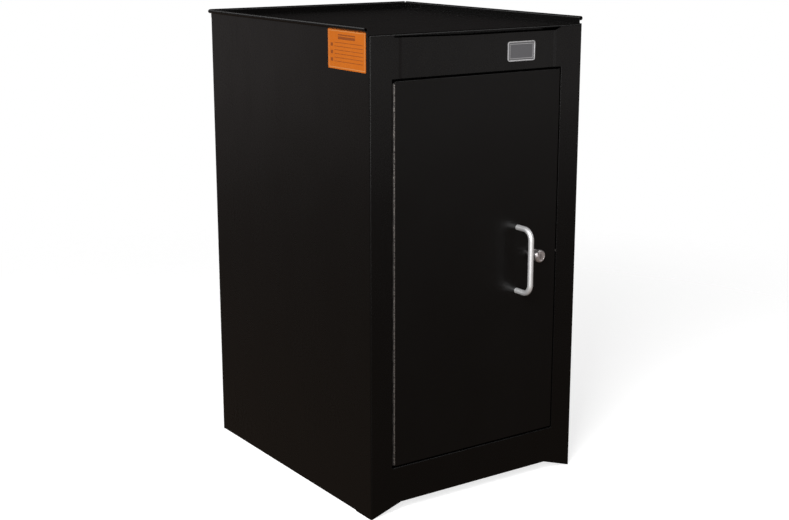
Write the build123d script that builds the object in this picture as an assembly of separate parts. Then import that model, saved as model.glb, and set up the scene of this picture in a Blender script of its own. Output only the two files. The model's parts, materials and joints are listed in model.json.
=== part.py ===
"""Single-door sheet-steel gun safe: a floor-standing locker with a rolled-edge top tray.

Origin: centre of the base footprint, on the floor. +X is to the right, +Y to the back, +Z up.
All sizes are in millimetres. The pose drawn is the door shut and the cam lock unlocked.
"""
from build123d import *
import os
from math import floor

# ---- overall body ----
WIDTH = 455.0            # across the side panels
DEPTH = 552.0            # front face to back face
HEIGHT = 840.0           # floor to the working top
LIP_RISE = 12.5          # top of the rolled lips above the working top
SHEET = 1.2              # body sheet steel
CORNER_BEND = 3.0        # outside radius of the body's bends
EDGE_INSIDE = 0.1        # inside radius of the bends round the door opening

# ---- front frame ----
STILE_LEFT = 44.4        # hinge-side stile, from the body's side
STILE_RIGHT = 46.8       # latch-side stile
HEADER = 73.2            # working top down to the door opening
RAIL = 86.6              # floor up to the door opening
RETURN = 20.0            # depth of the opening's folded-back edges
STOP_RISE = 10.0         # door stops reach this far into the opening, top and bottom
ARCH_RISE = 20.5         # height of the cut under the front
ARCH_RUN = 63.0          # length of the cut's slope at each corner

# ---- header recess and finger groove ----
NOSING = 3.5             # height of the top's rolled front edge
NOSING_BEND = 3.2        # its outside radius
GROOVE = 5.6             # height of the groove under the nosing
GROOVE_DEPTH = 4.0       # how far its sill runs back
GROOVE_TAPER = 14.0      # length of its pointed end on the latch side
GROOVE_MOUTH = 2.6       # height and length of its short point on the hinge side
GROOVE_SWELL = 150.0     # length over which it deepens from there
GROOVE_START = 2.4       # groove's ends inside the door opening's edges
GROOVE_STOP = 1.7
RECESS = 1.6             # how far the header is pressed back
RECESS_MARGIN_LEFT = 12.0
RECESS_MARGIN_RIGHT = 11.7
RECESS_RAMP = 8.0        # width of the sloped ends of the recess
RECESS_BEND = 10.0       # middle-line radius where they start and end

# ---- rolled lips ----
BEAD_RADIUS = 3.75       # outside radius of the curl
BEAD_TURN = 285.0        # degrees of curl
LIP_SETBACK = 7.0        # side lips start this far behind the front

# ---- inside of the body ----
REAR_FLANGE = 18.0       # side panels fold in behind, under the back panel
FOOT_FLANGE = 18.0       # side panels fold in at the floor
FOOT_SETBACK = 50.0      # that fold starts behind the front, clear of the arch
BACK_INSET = 1.0         # back panel edge to the side's outer face
TOP_FLANGE = 14.0        # top pan's folded-down edges
FLOOR_FLANGE = 22.0      # floor pan's folded-down edges
BASE_BAR = 30.0          # width of the flat base frame
BASE_BAR_THICK = 3.0
BASE_SETBACK = 58.0      # base frame's front bar behind the front face
ANCHOR_HOLE = 9.0        # wall anchor holes in the back, diameter
ANCHOR_SPAN_X = 254.0
ANCHOR_SPAN_Z = 406.4
ANCHOR_CENTRE_Z = 460.0

# ---- door ----
DOOR_SHEET = 1.5
DOOR_DEPTH = 18.5        # depth of the door pan
DOOR_HEM = 12.0          # pan edges fold in again at the back
DOOR_BEND = 1.2          # outside radius of the pan's bends
GAP_TOP = 4.0
GAP_BOTTOM = 3.0
GAP_LATCH = 2.6
BUMPER_RADIUS = 2.8
BUMPER_INSET = 22.0      # door's latch edge to the bumpers
BUMPER_GAP = 0.3         # shut door to rubber bumper
STIFFENER_WIDTH = 60.0
STIFFENER_FOOT = 14.0
STIFFENER_SHEET = 1.0

# ---- continuous hinge ----
KNUCKLE_PITCH = 19.05
KNUCKLE_RADIUS = 2.3
KNUCKLE_PLAY = 0.3       # end gap between knuckles, and gap from knuckle to frame or door
HINGE_PIN_RADIUS = 1.15
HINGE_FIT = 0.05         # radial running clearance
LEAF = 1.0
LEAF_WIDTH = 17.0
HINGE_PROUD = 0.5        # hinge axis in front of the front face

# ---- wire pull ----
PULL_WIRE = 10.0
PULL_CENTRES = 117.0
PULL_REACH = 38.5        # door face to the bar's centre line
PULL_BEND = 18.5         # middle-line radius
PULL_FROM_LATCH = 90.0   # pull's legs to the door's latch edge
PULL_Z = 427.0
SCREW_RADIUS = 2.0
SCREW_HEAD_RADIUS = 4.2
SCREW_HEAD = 2.6
SCREW_DOME = 1.2         # rounding of the head's rim
SCREW_CROSS = 0.9        # width of the head's cross recess
SCREW_GRIP = 12.0        # thread length inside the pull's legs

# ---- cam lock ----
LOCK_FROM_LATCH = 51.5   # lock axis to the door's latch edge
LOCK_Z = 430.5
LOCK_HEAD_RADIUS = 11.5
LOCK_HEAD = 7.0          # thickness of the head
LOCK_HEAD_ROUND = 2.2
LOCK_NECK_RADIUS = 9.5
LOCK_NECK = 13.0         # collar between the door and the head
LOCK_BODY_RADIUS = 9.0
LOCK_FLAT = 8.0          # half the width across the body's flats
PLUG_RADIUS = 6.0
PLUG_FIT = 0.08
PLUG_RIM_RADIUS = 7.5    # shoulder at the plug's face, in a counterbore
PLUG_RIM = 3.0
PLUG_PROUD = 0.6
PLUG_TAIL = 6.0          # across the square tail
KEYWAY = (2.2, 8.4)      # slot across the plug's face
KEYWAY_DEPTH = 22.0
NUT_THICK = 4.0
NUT_ACROSS = 24.0
SPUR_WASHER = 1.0
CAM_THICK = 2.5
CAM_WIDTH = 18.0
CAM_REACH = 69.0         # lock axis to the cam's tip
CAM_GAP = 1.0            # cam to strike
CAM_TIP_ROUND = 4.5
STRIKE_SHEET = 1.2
STRIKE_HEIGHT = 34.0
STRIKE_LEG = 20.0
STRIKE_SETBACK = 9.0     # strike plate behind the front face
STRIKE_TONGUE = 4.0      # height of the tongue that locates it on the jamb

# ---- shelves ----
STANDARD_WIDTH = 20.0
STANDARD_DEPTH = 6.0
STANDARD_SHEET = 1.0
STANDARD_MARGIN = 32.0   # standard's ends to the floor pan and the top
STANDARD_FRONT = 78.0    # front face to the front standards' centre
STANDARD_REAR = 84.0     # back face to the rear standards' centre
SLOT_PITCH = 25.4
SLOT_WIDTH = 3.6
SLOT_HEIGHT = 10.0
SHELF_SHEET = 1.0
SHELF_FLANGE = 19.0
SHELF_HEM = 10.0
SHELF_PLAY = 1.0         # shelf edge to standard
SHELF_FRONT = 46.0       # front face to the shelf's front edge
SHELF_REAR = 8.0         # shelf's rear edge to the back panel
LOWER_SHELF_SHARE = 0.31 # share of the standard's slots below each shelf
UPPER_SHELF_SHARE = 0.70
CLIP_WIDTH = 12.0
CLIP_SHEET = 1.6
CLIP_LEG = 20.0
CLIP_LEDGE = 15.0
CLIP_PLAY = 0.2

# ---- plates and rivets ----
BADGE = (60.0, 34.0, 1.5)
BADGE_CORNER = 4.0
BADGE_FROM_RIGHT = 138.4
BADGE_BELOW_TOP = 41.5
LABEL = (115.0, 66.0, 0.3)
LABEL_CORNER = 2.0
LABEL_FROM_FRONT = 11.0
LABEL_ABOVE_TOP = 4.0
RIVET_RADIUS = 2.4
RIVET_HEAD_RADIUS = 4.0
RIVET_HEAD = 1.4
RIVET_DOME = 1.1         # rounding of the head's rim
RIVET_TAIL_RADIUS = 3.4
BACK_RIVET_ROWS = 6
BACK_RIVET_MARGIN = 60.0

# ---- places worked out from the sizes above ----
LEFT, RIGHT = -WIDTH / 2, WIDTH / 2
FRONT, BACK = -DEPTH / 2, DEPTH / 2
HALF = SHEET / 2
EDGE_BEND = SHEET + EDGE_INSIDE      # outside radius of those bends
REAR_FACE = BACK - SHEET             # the side panels' rear flanges end here
OPEN_LEFT = LEFT + STILE_LEFT
OPEN_RIGHT = RIGHT - STILE_RIGHT
OPEN_BOTTOM = RAIL
OPEN_TOP = HEIGHT - HEADER
NOSING_FOOT = HEIGHT - NOSING
TOP_UNDER = HEIGHT - SHEET
BEAD_Z = HEIGHT + LIP_RISE - BEAD_RADIUS
STOP_Y = FRONT + RETURN              # front face of the door stops
FLOOR_TOP = OPEN_BOTTOM - SHEET      # the floor pan lies under the rail's fold
HINGE_GAP = 2 * (KNUCKLE_RADIUS + KNUCKLE_PLAY)
HINGE_X = OPEN_LEFT + HINGE_GAP / 2
HINGE_Y = FRONT - HINGE_PROUD
DOOR_LEFT = OPEN_LEFT + HINGE_GAP
DOOR_RIGHT = OPEN_RIGHT - GAP_LATCH
DOOR_BOTTOM = OPEN_BOTTOM + GAP_BOTTOM
DOOR_TOP = OPEN_TOP - GAP_TOP
DOOR_REAR = FRONT + DOOR_DEPTH
DOOR_INNER = FRONT + DOOR_SHEET      # back of the door's front sheet
PULL_X = DOOR_RIGHT - PULL_FROM_LATCH
LOCK_X = DOOR_RIGHT - LOCK_FROM_LATCH
STRIKE_REAR = STOP_Y + STRIKE_SHEET
CAM_FRONT = STRIKE_REAR + CAM_GAP
CAM_REAR = CAM_FRONT + CAM_THICK
STANDARD_FOOT = FLOOR_TOP + STANDARD_MARGIN
STANDARD_TOP = TOP_UNDER - TOP_FLANGE - STANDARD_MARGIN
STANDARD_YS = (FRONT + STANDARD_FRONT, BACK - STANDARD_REAR)
STANDARD_FACE = WIDTH / 2 - SHEET - STANDARD_DEPTH    # distance from the middle
SLOT_COUNT = floor((STANDARD_TOP - STANDARD_FOOT) / SLOT_PITCH)
CUT = 5.0                # how far cutting tools run past what they cut


# ---- helpers ----
def slab(x0, x1, y0, y1, z0, z1):
    """Block between two corners."""
    block = Box(x1 - x0, y1 - y0, z1 - z0, align=Align.MIN)
    return Pos(x0, y0, z0) * block


def rod(radius, start, end):
    """Round bar from one point to another."""
    way = Vector(*end) - Vector(*start)
    return extrude(Plane(start, z_dir=way) * Circle(radius), way.length)


def up(section, z0, z1):
    """Plan section, drawn in X and Y, raised from z0 to z1."""
    return extrude(Plane.XY.offset(z0) * section, z1 - z0)


def back(section, y0, y1):
    """Front section, drawn in X and Z, run from y0 back to y1."""
    plane = Plane((0, y1, 0), x_dir=(1, 0, 0), z_dir=(0, -1, 0))
    return extrude(plane * section, y1 - y0)


def across(section, x0, x1):
    """Side section, drawn in Y and Z, run from x0 across to x1."""
    plane = Plane((x0, 0, 0), x_dir=(0, 1, 0), z_dir=(1, 0, 0))
    return extrude(plane * section, x1 - x0)


def folded(points, bend, sheet=SHEET):
    """Section of a folded sheet: its middle line, rounded at each bend."""
    radii = bend if isinstance(bend, list) else [bend] * (len(points) - 2)
    line = FilletPolyline(*points, radius=radii)
    return trace(line, sheet)


def curl(side):
    """Section of a lip that rolls outwards: side -1 rolls to the left, +1 to the right."""
    radius = BEAD_RADIUS - HALF
    straight = Line((0, NOSING_FOOT), (0, BEAD_Z))
    start = 180 if side > 0 else 0
    roll = CenterArc((side * radius, BEAD_Z), radius, start, -side * BEAD_TURN)
    return trace([straight, roll], SHEET)


def arch():
    """Tool that cuts the sloped arch under the front frame."""
    outline = make_face(Polyline(
        (LEFT, 0), (LEFT + ARCH_RUN, ARCH_RISE), (RIGHT - ARCH_RUN, ARCH_RISE), (RIGHT, 0),
        (RIGHT, -CUT), (LEFT, -CUT), (LEFT, 0)))
    return back(outline, FRONT - CUT, FRONT + RETURN)


def groove_ends():
    """Where the finger groove starts and stops across the front."""
    return OPEN_LEFT + GROOVE_START, OPEN_RIGHT - GROOVE_STOP


def groove():
    """Tool that cuts the finger groove under the nosing: it deepens away from the hinge side."""
    left, right = groove_ends()
    sill = NOSING_FOOT - GROOVE
    outline = make_face(Polyline(
        (left, NOSING_FOOT), (left + GROOVE_MOUTH, NOSING_FOOT - GROOVE_MOUTH),
        (left + GROOVE_SWELL, sill), (right - GROOVE_TAPER, sill),
        (right, NOSING_FOOT), (left, NOSING_FOOT)))
    return back(outline, FRONT - CUT, FRONT + GROOVE_DEPTH)


# ---- body ----
def side_panel(side):
    """Side, stile and flanges folded from one sheet, with a rolled lip along the top.

    The stile's return stops at the door opening, so that header and rail butt flush against it.
    """
    edge = side * WIDTH / 2
    inward = -side
    stile = STILE_LEFT if side < 0 else STILE_RIGHT
    wall = edge + inward * HALF
    jamb = edge + inward * (stile - HALF)
    line = [(edge + inward * REAR_FLANGE, REAR_FACE - HALF), (wall, REAR_FACE - HALF), (wall, FRONT + HALF)]
    bends = [CORNER_BEND - HALF, CORNER_BEND - HALF]
    flat = folded(line + [(edge + inward * stile, FRONT + HALF)], bends)
    returned = folded(line + [(jamb, FRONT + HALF), (jamb, FRONT + RETURN)], bends + [EDGE_BEND - HALF])
    panel = up(flat, 0, OPEN_BOTTOM) + up(returned, OPEN_BOTTOM, OPEN_TOP)
    panel += up(flat, OPEN_TOP, TOP_UNDER)
    panel -= arch()
    panel -= slab(LEFT - CUT, RIGHT + CUT, FRONT - CUT, FRONT + NOSING, NOSING_FOOT, HEIGHT)
    foot_from, foot_to = FRONT + FOOT_SETBACK, REAR_FACE - CORNER_BEND
    wall_x = sorted([edge - inward, edge + inward * SHEET])
    leg = CORNER_BEND + SHEET
    panel -= slab(*wall_x, foot_from, foot_to, -CUT, leg)
    foot = folded(
        [(wall, leg), (wall, HALF), (edge + inward * FOOT_FLANGE, HALF)],
        CORNER_BEND - HALF)
    panel += back(foot, foot_from, foot_to)
    panel += back(Pos(wall, 0) * curl(side), FRONT + LIP_SETBACK, REAR_FACE)
    return panel - rivet_holes()


def back_panel():
    """Flat back over the sides' flanges, with its own rolled lip and the wall anchor holes."""
    panel = slab(LEFT + BACK_INSET, RIGHT - BACK_INSET, REAR_FACE, BACK, 0, TOP_UNDER)
    panel += across(Pos(REAR_FACE + HALF, 0) * curl(1), LEFT + BACK_INSET, RIGHT - BACK_INSET)
    for x in (-ANCHOR_SPAN_X / 2, ANCHOR_SPAN_X / 2):
        for z in (-ANCHOR_SPAN_Z / 2, ANCHOR_SPAN_Z / 2):
            centre_z = ANCHOR_CENTRE_Z + z
            panel -= rod(ANCHOR_HOLE / 2, (x, REAR_FACE - CUT, centre_z), (x, BACK + CUT, centre_z))
    return panel - rivet_holes()


def top_pan():
    """Working top: a pan between the lips, whose front edge rolls over as a nosing."""
    inner = WIDTH / 2 - SHEET
    nose = folded(
        [(REAR_FACE, HEIGHT - HALF), (FRONT + HALF, HEIGHT - HALF), (FRONT + HALF, NOSING_FOOT)],
        NOSING_BEND - HALF)
    pan = across(nose, -inner, inner)
    end = slab(LEFT, RIGHT, FRONT, FRONT + LIP_SETBACK, NOSING_FOOT, HEIGHT)
    end = fillet(end.edges().filter_by(Axis.Z).sort_by(Axis.Y)[:2], CORNER_BEND)
    pan = (pan - slab(LEFT, RIGHT, FRONT, FRONT + LIP_SETBACK, NOSING_FOOT, HEIGHT)
           + (across(nose, LEFT, RIGHT) & end))
    for side in (-1, 1):
        wall = sorted([side * inner, side * (inner - SHEET)])
        pan += slab(*wall, FRONT + RETURN, REAR_FACE - CORNER_BEND, TOP_UNDER - TOP_FLANGE, TOP_UNDER)
    pan += slab(-inner + REAR_FLANGE, inner - REAR_FLANGE, REAR_FACE - SHEET, REAR_FACE,
                TOP_UNDER - TOP_FLANGE, TOP_UNDER)
    return pan


def header_panel():
    """Front panel over the door: pressed back a little, with a groove along its top edge."""
    face, pressed = FRONT + HALF, FRONT + RECESS + HALF
    start, end = OPEN_LEFT + RECESS_MARGIN_LEFT, OPEN_RIGHT - RECESS_MARGIN_RIGHT
    plan = folded(
        [(OPEN_LEFT, face), (start, face), (start + RECESS_RAMP, pressed),
         (end - RECESS_RAMP, pressed), (end, face), (OPEN_RIGHT, face)],
        RECESS_BEND)
    panel = up(plan, OPEN_TOP, NOSING_FOOT) - groove()
    jamb_from = FRONT + RECESS + SHEET
    panel += slab(OPEN_LEFT, OPEN_RIGHT, jamb_from, STOP_Y, OPEN_TOP, OPEN_TOP + SHEET)
    left, right = groove_ends()
    sill = NOSING_FOOT - GROOVE
    return panel + slab(left + GROOVE_SWELL, right - GROOVE_TAPER, jamb_from, FRONT + GROOVE_DEPTH,
                        sill - SHEET, sill)


def header_channel():
    """Channel behind the header: stiffens the front and is the door's upper stop."""
    foot = OPEN_TOP - STOP_RISE
    channel = slab(OPEN_LEFT, OPEN_RIGHT, STOP_Y, STOP_Y + SHEET, foot, TOP_UNDER)
    channel += slab(OPEN_LEFT, OPEN_RIGHT, STOP_Y, STOP_Y + TOP_FLANGE, TOP_UNDER - SHEET, TOP_UNDER)
    channel += slab(OPEN_LEFT, OPEN_RIGHT, STOP_Y, STOP_Y + TOP_FLANGE, foot, foot + SHEET)
    return channel


def bottom_rail():
    """Front rail under the door, folded back over the floor pan and up as the lower stop."""
    section = folded(
        [(FRONT + HALF, 0), (FRONT + HALF, OPEN_BOTTOM - HALF), (STOP_Y + HALF, OPEN_BOTTOM - HALF),
         (STOP_Y + HALF, OPEN_BOTTOM + STOP_RISE)],
        EDGE_BEND - HALF)
    return across(section, OPEN_LEFT, OPEN_RIGHT) - arch()


def bottom_pan():
    """Floor of the locker: a pan with its edges folded down inside the body."""
    inner = WIDTH / 2 - SHEET
    front = STOP_Y + SHEET
    foot = FLOOR_TOP - FLOOR_FLANGE
    bend_from = REAR_FACE - CORNER_BEND
    corner = inner - CORNER_BEND
    pan = slab(-inner, inner, front, bend_from, FLOOR_TOP - SHEET, FLOOR_TOP)
    pan += slab(-corner, corner, bend_from, REAR_FACE - SHEET, FLOOR_TOP - SHEET, FLOOR_TOP)
    pan += slab(OPEN_LEFT, OPEN_RIGHT, FRONT + EDGE_BEND + SHEET, front, FLOOR_TOP - SHEET, FLOOR_TOP)
    pan += slab(OPEN_LEFT, OPEN_RIGHT, front, front + SHEET, foot, FLOOR_TOP)
    for side in (-1, 1):
        wall = sorted([side * inner, side * (inner - SHEET)])
        pan += slab(*wall, front, bend_from, foot, FLOOR_TOP)
    pan += slab(-inner + REAR_FLANGE, inner - REAR_FLANGE, REAR_FACE - SHEET, REAR_FACE, foot, FLOOR_TOP)
    return pan


def base_frame():
    """Flat ring welded between the sides' foot flanges: the face that the safe stands on."""
    x = WIDTH / 2 - FOOT_FLANGE
    y0, y1 = FRONT + BASE_SETBACK, REAR_FACE - SHEET
    ring = slab(-x, x, y0, y1, 0, BASE_BAR_THICK)
    ring -= slab(-x + BASE_BAR, x - BASE_BAR, y0 + BASE_BAR, y1 - BASE_BAR, -CUT, BASE_BAR_THICK + CUT)
    return ring


def back_rivet_places():
    """Centres of the back panel's rivets, on the side panels' rear flanges."""
    x = WIDTH / 2 - REAR_FLANGE / 2
    run = TOP_UNDER - 2 * BACK_RIVET_MARGIN
    step = run / (BACK_RIVET_ROWS - 1)
    return [Vector(side * x, BACK, BACK_RIVET_MARGIN + row * step)
            for side in (-1, 1) for row in range(BACK_RIVET_ROWS)]


def rivet_holes():
    """Tools for the rivet holes through the back panel and the flanges under it."""
    return [rod(RIVET_RADIUS, (place.X, REAR_FACE - CUT, place.Z), (place.X, BACK + CUT, place.Z))
            for place in back_rivet_places()]


def back_rivets():
    """Domed rivets that hold the back panel, as one group."""
    rivets = []
    for place in back_rivet_places():
        inside = REAR_FACE - SHEET
        shank = rod(RIVET_RADIUS, (place.X, inside, place.Z), (place.X, BACK, place.Z))
        shank += rod(RIVET_TAIL_RADIUS, (place.X, inside - RIVET_HEAD, place.Z),
                     (place.X, inside, place.Z))
        head = rod(RIVET_HEAD_RADIUS, (place.X, BACK, place.Z), (place.X, BACK + RIVET_HEAD, place.Z))
        rim = head.edges().filter_by(GeomType.CIRCLE).sort_by(Axis.Y)[-1]
        rivets.append(shank + fillet(rim, RIVET_DOME))
    return Compound(children=rivets)


# ---- continuous hinge ----
def knuckle_count():
    """Odd number of knuckles that fits the door's height, so both ends belong to the frame."""
    whole = floor((DOOR_TOP - DOOR_BOTTOM) / KNUCKLE_PITCH)
    return whole if whole % 2 else whole - 1


def hinge_foot():
    """Height of the hinge's lower end: the hinge is centred on the door."""
    return (DOOR_BOTTOM + DOOR_TOP - knuckle_count() * KNUCKLE_PITCH) / 2


def hinge_leaf(side, bore):
    """One leaf: side -1 is on the frame, +1 on the door. Its knuckles are every other one."""
    outer = HINGE_X + side * (HINGE_GAP / 2)
    plate_x = sorted([outer, outer - side * LEAF])
    plate_y = HINGE_Y + KNUCKLE_RADIUS + KNUCKLE_PLAY
    foot, count = hinge_foot(), knuckle_count()
    leaf = slab(*plate_x, plate_y, plate_y + LEAF_WIDTH, foot, foot + count * KNUCKLE_PITCH)
    width = plate_x[1] - plate_x[0]
    tab = Pos((plate_x[0] + plate_x[1]) / 2, (HINGE_Y + plate_y) / 2) * Rectangle(width, plate_y - HINGE_Y)
    section = Pos(HINGE_X, HINGE_Y) * Circle(KNUCKLE_RADIUS) + tab
    section -= Pos(HINGE_X, HINGE_Y) * Circle(bore)
    knuckles = []
    for index in range(0 if side < 0 else 1, count, 2):
        z = foot + index * KNUCKLE_PITCH + KNUCKLE_PLAY / 2
        knuckles.append(up(section, z, z + KNUCKLE_PITCH - KNUCKLE_PLAY))
    return leaf + knuckles


def hinge_pin():
    """Pin through every knuckle, held by the frame leaf."""
    foot = hinge_foot()
    return rod(HINGE_PIN_RADIUS, (HINGE_X, HINGE_Y, foot),
               (HINGE_X, HINGE_Y, foot + knuckle_count() * KNUCKLE_PITCH))


# ---- door ----
def door_skin():
    """Door pan: the front sheet with its edges folded back and then in."""
    pan = slab(DOOR_LEFT, DOOR_RIGHT, FRONT, DOOR_REAR, DOOR_BOTTOM, DOOR_TOP)
    front_face = pan.faces().sort_by(Axis.Y)[0]
    upright = pan.edges().filter_by(Axis.Y)
    pan = fillet(front_face.edges() + upright, DOOR_BEND)
    t, hem = DOOR_SHEET, DOOR_HEM
    pan -= slab(DOOR_LEFT + t, DOOR_RIGHT - t, DOOR_INNER, DOOR_REAR - t, DOOR_BOTTOM + t, DOOR_TOP - t)
    pan -= slab(DOOR_LEFT + hem, DOOR_RIGHT - hem, DOOR_INNER, DOOR_REAR + CUT,
                DOOR_BOTTOM + hem, DOOR_TOP - hem)
    for z in pull_leg_heights():
        pan -= rod(SCREW_RADIUS, (PULL_X, FRONT - CUT, z), (PULL_X, DOOR_REAR, z))
    pan -= lock_hole(FRONT - CUT, DOOR_INNER + CUT)
    return pan


def lock_hole(y0, y1):
    """Round hole with two flats, which keeps the lock from turning in the door."""
    section = Circle(LOCK_BODY_RADIUS) & Rectangle(2 * LOCK_FLAT, 2 * LOCK_BODY_RADIUS)
    return back(Pos(LOCK_X, LOCK_Z) * section, y0, y1)


def door_stiffener():
    """Upright hat section welded inside the door."""
    middle = (DOOR_LEFT + DOOR_RIGHT) / 2 - STIFFENER_WIDTH
    half, t = STIFFENER_WIDTH / 2, STIFFENER_SHEET
    seat, crown = DOOR_INNER + t / 2, DOOR_REAR - DOOR_SHEET - t / 2
    section = folded(
        [(middle - half, seat), (middle - half + STIFFENER_FOOT, seat),
         (middle - half + STIFFENER_FOOT, crown), (middle + half - STIFFENER_FOOT, crown),
         (middle + half - STIFFENER_FOOT, seat), (middle + half, seat)],
        EDGE_BEND, STIFFENER_SHEET)
    return up(section, DOOR_BOTTOM + DOOR_HEM, DOOR_TOP - DOOR_HEM)


def pull_leg_heights():
    """Heights of the pull's two legs."""
    return (PULL_Z - PULL_CENTRES / 2, PULL_Z + PULL_CENTRES / 2)


def lock_backing_plate():
    """Plate behind the door sheet that carries the pull and the lock."""
    low, high = pull_leg_heights()
    margin = 2 * LOCK_HEAD_RADIUS
    plate = slab(PULL_X - margin, LOCK_X + margin, DOOR_INNER, DOOR_INNER + DOOR_SHEET,
                 low - margin, high + margin)
    plate = fillet(plate.edges().filter_by(Axis.Y), CORNER_BEND)
    for z in pull_leg_heights():
        plate -= rod(SCREW_RADIUS, (PULL_X, FRONT, z), (PULL_X, DOOR_REAR, z))
    return plate - lock_hole(FRONT, DOOR_REAR)


def pull_handle():
    """Bent wire pull with a tapped hole in each leg."""
    low, high = pull_leg_heights()
    reach = FRONT - PULL_REACH
    path = FilletPolyline((PULL_X, FRONT, low), (PULL_X, reach, low), (PULL_X, reach, high),
                          (PULL_X, FRONT, high), radius=PULL_BEND)
    wire = sweep(Plane((PULL_X, FRONT, low), z_dir=(0, -1, 0)) * Circle(PULL_WIRE / 2), path)
    for z in pull_leg_heights():
        wire -= rod(SCREW_RADIUS, (PULL_X, FRONT + CUT, z), (PULL_X, FRONT - SCREW_GRIP, z))
    return wire


def handle_screws():
    """Two pan-head screws, from inside the door into the pull's legs."""
    seat = DOOR_INNER + DOOR_SHEET
    screws = []
    for z in pull_leg_heights():
        shank = rod(SCREW_RADIUS, (PULL_X, FRONT - SCREW_GRIP, z), (PULL_X, seat, z))
        head = rod(SCREW_HEAD_RADIUS, (PULL_X, seat, z), (PULL_X, seat + SCREW_HEAD, z))
        rim = head.edges().filter_by(GeomType.CIRCLE).sort_by(Axis.Y)[-1]
        head = fillet(rim, SCREW_DOME)
        recess_y = (seat + SCREW_HEAD / 2, seat + SCREW_HEAD + CUT)
        arm, width = SCREW_RADIUS, SCREW_CROSS / 2
        for half_x, half_z in ((arm, width), (width, arm)):
            head -= slab(PULL_X - half_x, PULL_X + half_x, *recess_y, z - half_z, z + half_z)
        screws.append(shank + head)
    return Compound(children=screws)


# ---- cam lock ----
def lock_section(radius):
    """Disc on the lock's axis."""
    return Pos(LOCK_X, LOCK_Z) * Circle(radius)


def lock_housing():
    """Head, neck and threaded body of the lock, bored for the plug."""
    head_rear = FRONT - LOCK_NECK
    head_front = head_rear - LOCK_HEAD
    head = back(lock_section(LOCK_HEAD_RADIUS), head_front, head_rear)
    head = fillet(head.edges().filter_by(GeomType.CIRCLE).sort_by(Axis.Y)[0], LOCK_HEAD_ROUND)
    neck = back(lock_section(LOCK_NECK_RADIUS), head_rear, FRONT)
    body_rear = CAM_FRONT - CAM_GAP
    housing = head + neck + lock_hole(FRONT, body_rear)
    housing -= back(lock_section(PLUG_RADIUS + PLUG_FIT), head_front - CUT, body_rear + CUT)
    return housing - back(lock_section(PLUG_RIM_RADIUS + PLUG_FIT), head_front - CUT,
                          head_front + PLUG_RIM + PLUG_FIT)


def lock_plug():
    """Keyed cylinder that turns in the housing, with a square tail for the cam."""
    face = FRONT - LOCK_NECK - LOCK_HEAD - PLUG_PROUD
    plug = back(lock_section(PLUG_RADIUS), face, CAM_FRONT)
    plug += back(lock_section(PLUG_RIM_RADIUS), face, face + PLUG_PROUD + PLUG_RIM)
    plug += plug_tail()
    slot_x, slot_z = KEYWAY[0] / 2, KEYWAY[1] / 2
    plug -= slab(LOCK_X - slot_x, LOCK_X + slot_x, face - CUT, face + KEYWAY_DEPTH,
                 LOCK_Z - slot_z, LOCK_Z + slot_z)
    return plug - cam_thread()


def plug_tail():
    """Square tail of the plug, which fills the cam's square hole."""
    half = PLUG_TAIL / 2
    return slab(LOCK_X - half, LOCK_X + half, CAM_FRONT, CAM_REAR, LOCK_Z - half, LOCK_Z + half)


def cam_thread():
    """Tapped hole up the plug's tail for the cam screw."""
    return rod(SCREW_RADIUS, (LOCK_X, CAM_FRONT - CUT, LOCK_Z), (LOCK_X, CAM_REAR + CUT, LOCK_Z))


def lock_spur_washer():
    """Toothed washer under the lock's nut."""
    seat = DOOR_INNER + DOOR_SHEET
    ring = back(lock_section(NUT_ACROSS / 2), seat, seat + SPUR_WASHER)
    return ring - lock_hole(seat - CUT, seat + CUT)


def lock_nut():
    """Hexagon nut that clamps the lock to the door."""
    seat = DOOR_INNER + DOOR_SHEET + SPUR_WASHER
    hexagon = Pos(LOCK_X, LOCK_Z) * RegularPolygon(NUT_ACROSS / 2, 6, major_radius=False)
    nut = back(hexagon, seat, seat + NUT_THICK)
    return nut - lock_hole(seat - CUT, seat + NUT_THICK + CUT)


def lock_cam():
    """Flat cam, hanging down when unlocked; a quarter turn carries its tip behind the strike."""
    cam = slab(LOCK_X - CAM_WIDTH / 2, LOCK_X + CAM_WIDTH / 2, CAM_FRONT, CAM_REAR,
               LOCK_Z - CAM_REACH, LOCK_Z)
    cam = fillet(cam.edges().filter_by(Axis.Y).group_by(Axis.Z)[0], CAM_TIP_ROUND)
    cam += back(lock_section(CAM_WIDTH / 2), CAM_FRONT, CAM_REAR)
    return cam - plug_tail()


def cam_screw():
    """Screw and washer that hold the cam on the plug's tail."""
    screw = rod(SCREW_RADIUS, (LOCK_X, CAM_FRONT - CUT, LOCK_Z), (LOCK_X, CAM_REAR, LOCK_Z))
    screw += rod(PLUG_RADIUS, (LOCK_X, CAM_REAR, LOCK_Z), (LOCK_X, CAM_REAR + SPUR_WASHER, LOCK_Z))
    head_from = CAM_REAR + SPUR_WASHER
    head = rod(SCREW_HEAD_RADIUS, (LOCK_X, head_from, LOCK_Z), (LOCK_X, head_from + SCREW_HEAD, LOCK_Z))
    head = fillet(head.edges().filter_by(GeomType.CIRCLE).sort_by(Axis.Y)[-1], SCREW_DOME)
    return screw + head


def strike_plate():
    """Folded plate on the latch-side return: the cam's tip goes behind its rear leg."""
    z0, z1 = LOCK_Z - STRIKE_HEIGHT / 2, LOCK_Z + STRIKE_HEIGHT / 2
    plate = slab(OPEN_RIGHT - STRIKE_SHEET, OPEN_RIGHT, FRONT + STRIKE_SETBACK, STRIKE_REAR, z0, z1)
    plate += slab(OPEN_RIGHT - STRIKE_SHEET, OPEN_RIGHT, FRONT + EDGE_BEND, FRONT + STRIKE_SETBACK,
                  LOCK_Z - STRIKE_TONGUE / 2, LOCK_Z + STRIKE_TONGUE / 2)
    return plate + slab(OPEN_RIGHT - STRIKE_SHEET, OPEN_RIGHT + STRIKE_LEG, STOP_Y, STRIKE_REAR, z0, z1)


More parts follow.
